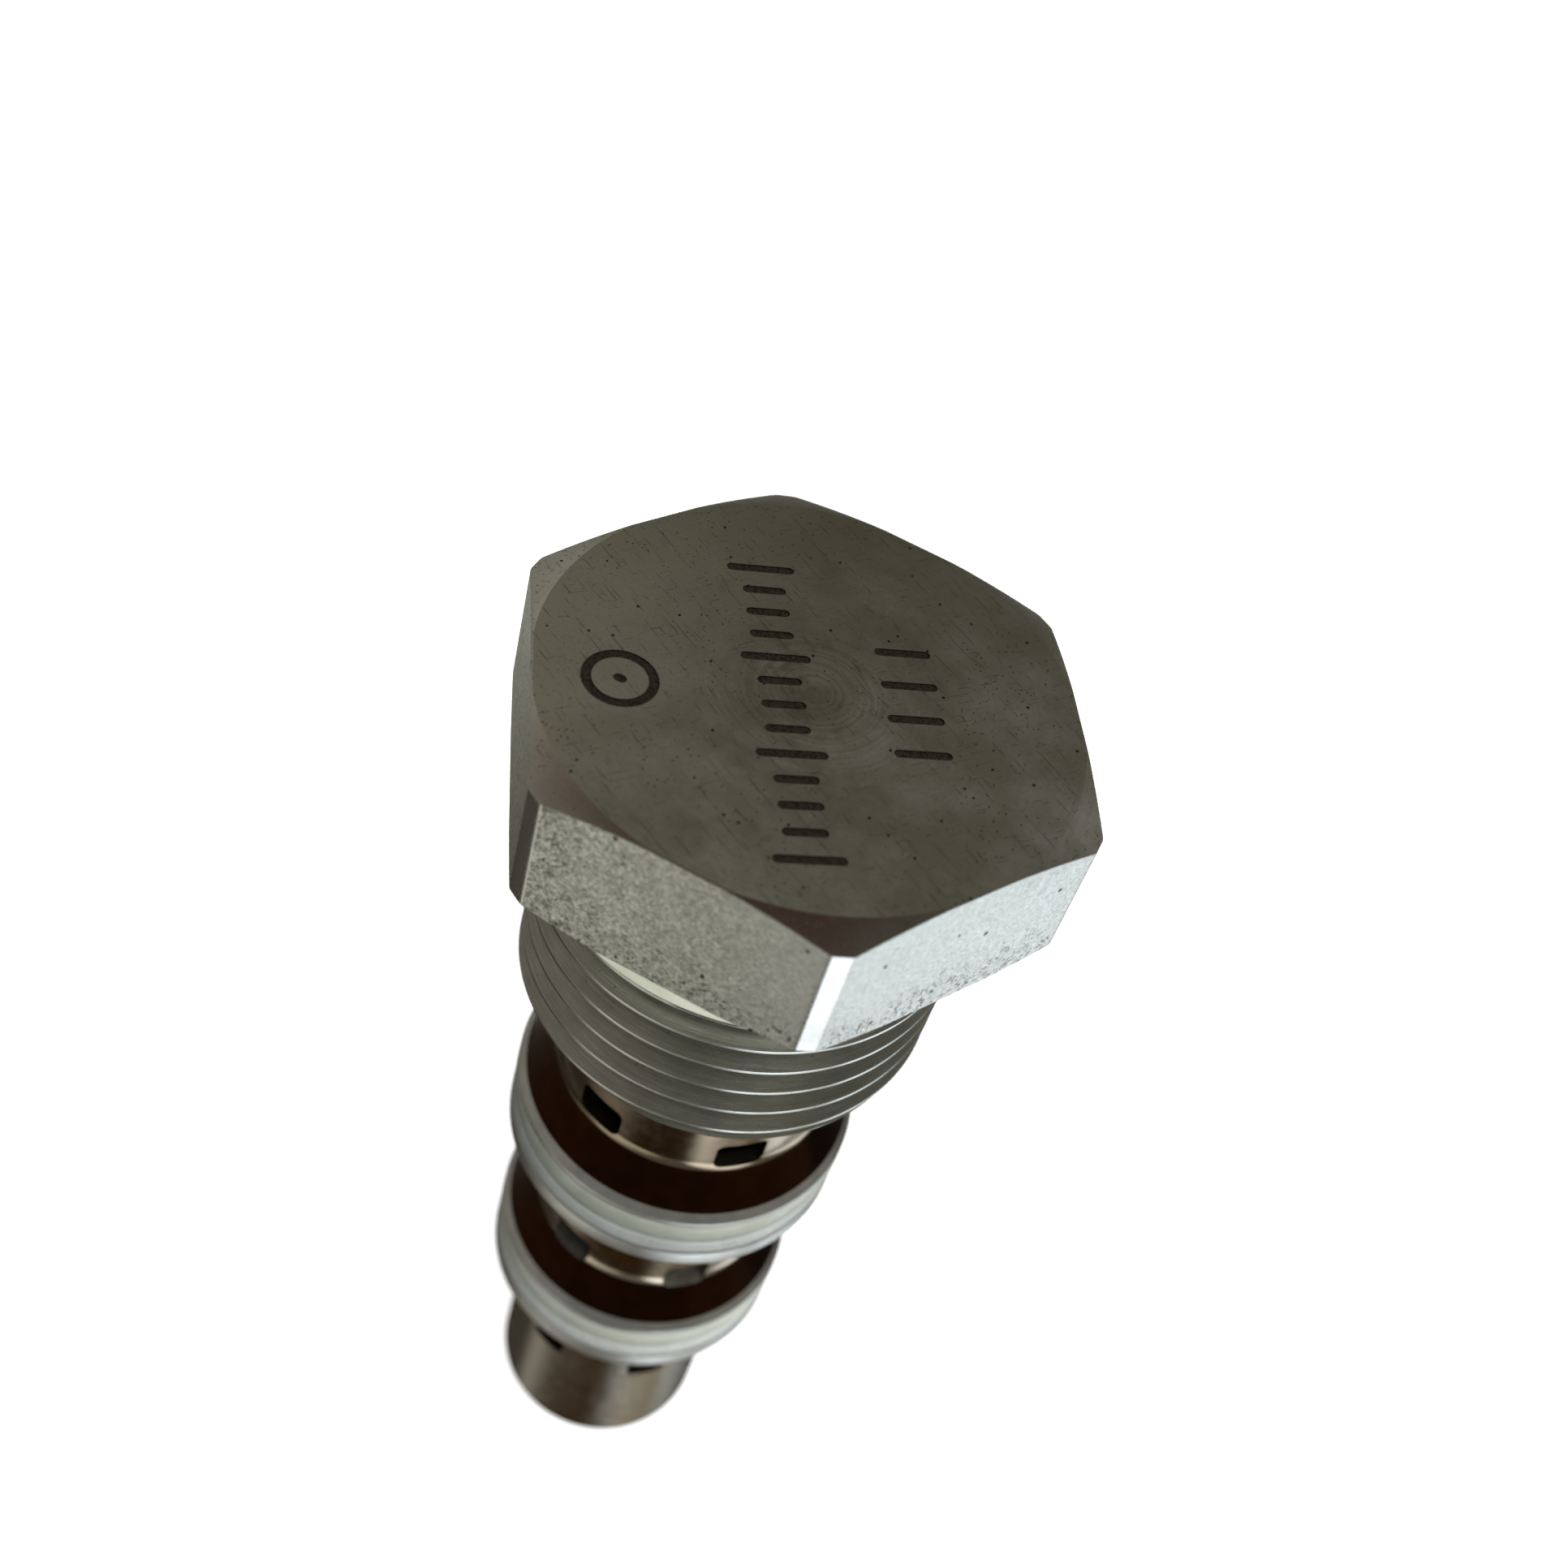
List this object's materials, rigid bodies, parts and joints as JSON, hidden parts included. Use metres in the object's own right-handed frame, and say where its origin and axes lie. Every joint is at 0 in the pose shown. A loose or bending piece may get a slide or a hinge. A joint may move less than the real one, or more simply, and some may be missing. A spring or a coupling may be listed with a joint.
{
  "type": "hydraulic cartridge valve",
  "caption": "Screw-in hydraulic cartridge valve with a hex plug, threaded shank, windowed two-land cage and a spring-centred sliding spool inside.",
  "frame": {"origin": "on the valve axis, at the end of the nose on which the valve stands; the underside of the hex, which stops against the manifold, is 69.4 mm above it", "axes": "+Z along the valve axis from the nose towards the hex; -Y square to one hex flat"},
  "size_m": [0.036, 0.0318, 0.0791],
  "materials": {
    "plated_steel": "satin",
    "cage_steel": "satin",
    "honed_steel": "fine ground",
    "spring_steel": "drawn wire",
    "ring_steel": "oiled",
    "orifice_brass": "machined",
    "pale_seal": "smooth",
    "backup_plastic": "smooth",
    "dark_rubber": "smooth"
  },
  "bodies": {
    "body": {"hex_plug": "plated_steel", "face_seal": "pale_seal", "cage": "cage_steel", "cage_snap_ring": "ring_steel", "cage_o_ring": "dark_rubber", "cage_backup_ring": "backup_plastic", "upper_land_backup_ring": "backup_plastic", "upper_land_o_ring": "pale_seal", "lower_land_backup_ring": "backup_plastic", "lower_land_o_ring": "pale_seal", "upper_spring": "spring_steel", "lower_spring": "spring_steel", "upper_spring_shim": "ring_steel", "lower_spring_shim": "ring_steel", "nose_plug": "plated_steel", "nose_plug_o_ring": "dark_rubber", "nose_snap_ring": "ring_steel"},
    "spool": {"spool": "honed_steel", "upper_orifice": "orifice_brass", "lower_orifice": "orifice_brass", "upper_spring_guide": "ring_steel", "lower_spring_guide": "ring_steel"}
  },
  "joints": [
    {"name": "spool_slide", "type": "slide", "parent": "body", "child": "spool", "axis": [0, 0, 1], "range_m": [-0.0025, 0.0025], "stiffness_N_per_m": 1500, "deforming": ["upper_spring", "lower_spring"]}
  ]
}
